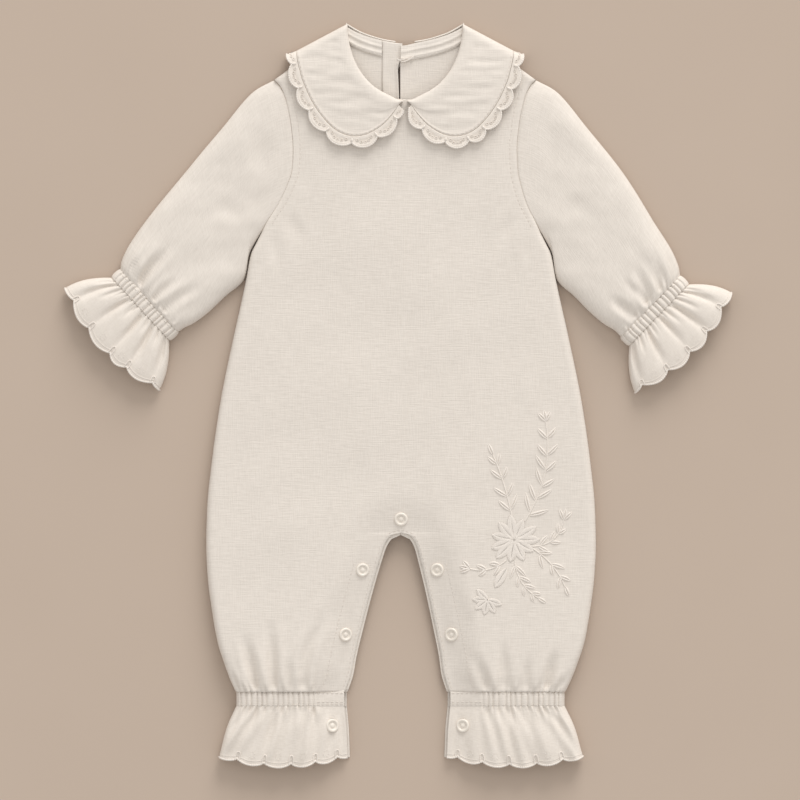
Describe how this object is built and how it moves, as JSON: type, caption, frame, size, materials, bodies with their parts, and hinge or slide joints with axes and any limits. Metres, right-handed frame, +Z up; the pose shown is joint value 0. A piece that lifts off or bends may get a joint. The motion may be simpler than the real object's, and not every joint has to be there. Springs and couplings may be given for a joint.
{
  "type": "baby romper",
  "caption": "Long-sleeved baby romper of crinkled cotton with a round scalloped collar, ruffled wrists and ankles and snap inner legs, laid flat and face up.",
  "frame": {"origin": "on the surface that the romper lies on, under the centre of its outline", "axes": "+X towards the wearer's left sleeve, +Y from the hems to the neck, +Z up through the front"},
  "size_m": [0.4759, 0.5351, 0.0135],
  "materials": {
    "gauze": "matte crinkled cotton gauze, off-white",
    "edging": "matte cotton with an embroidered scalloped edge, off-white",
    "binding": "matte plain-woven cotton, off-white",
    "resin": "satin moulded resin, off-white"
  },
  "bodies": {
    "root": {"front": "gauze", "back_left": "gauze", "back_right": "gauze", "sleeve_left": "gauze", "wrist_casing_left": "gauze", "ankle_casing_left": "gauze", "wrist_ruffle_left": "edging", "ankle_ruffle_left": "edging", "collar_left": "gauze", "collar_trim_left": "edging", "neck_facing_left": "binding", "sleeve_right": "gauze", "wrist_casing_right": "gauze", "ankle_casing_right": "gauze", "wrist_ruffle_right": "edging", "ankle_ruffle_right": "edging", "collar_right": "gauze", "collar_trim_right": "edging", "neck_facing_right": "binding", "back_placket": "binding", "back_button": "resin", "snap_crotch": "resin", "snap_thigh_left": "resin", "snap_shin_left": "resin", "snap_ankle_left": "resin", "snap_thigh_right": "resin", "snap_shin_right": "resin", "snap_ankle_right": "resin"}
  },
  "joints": []
}
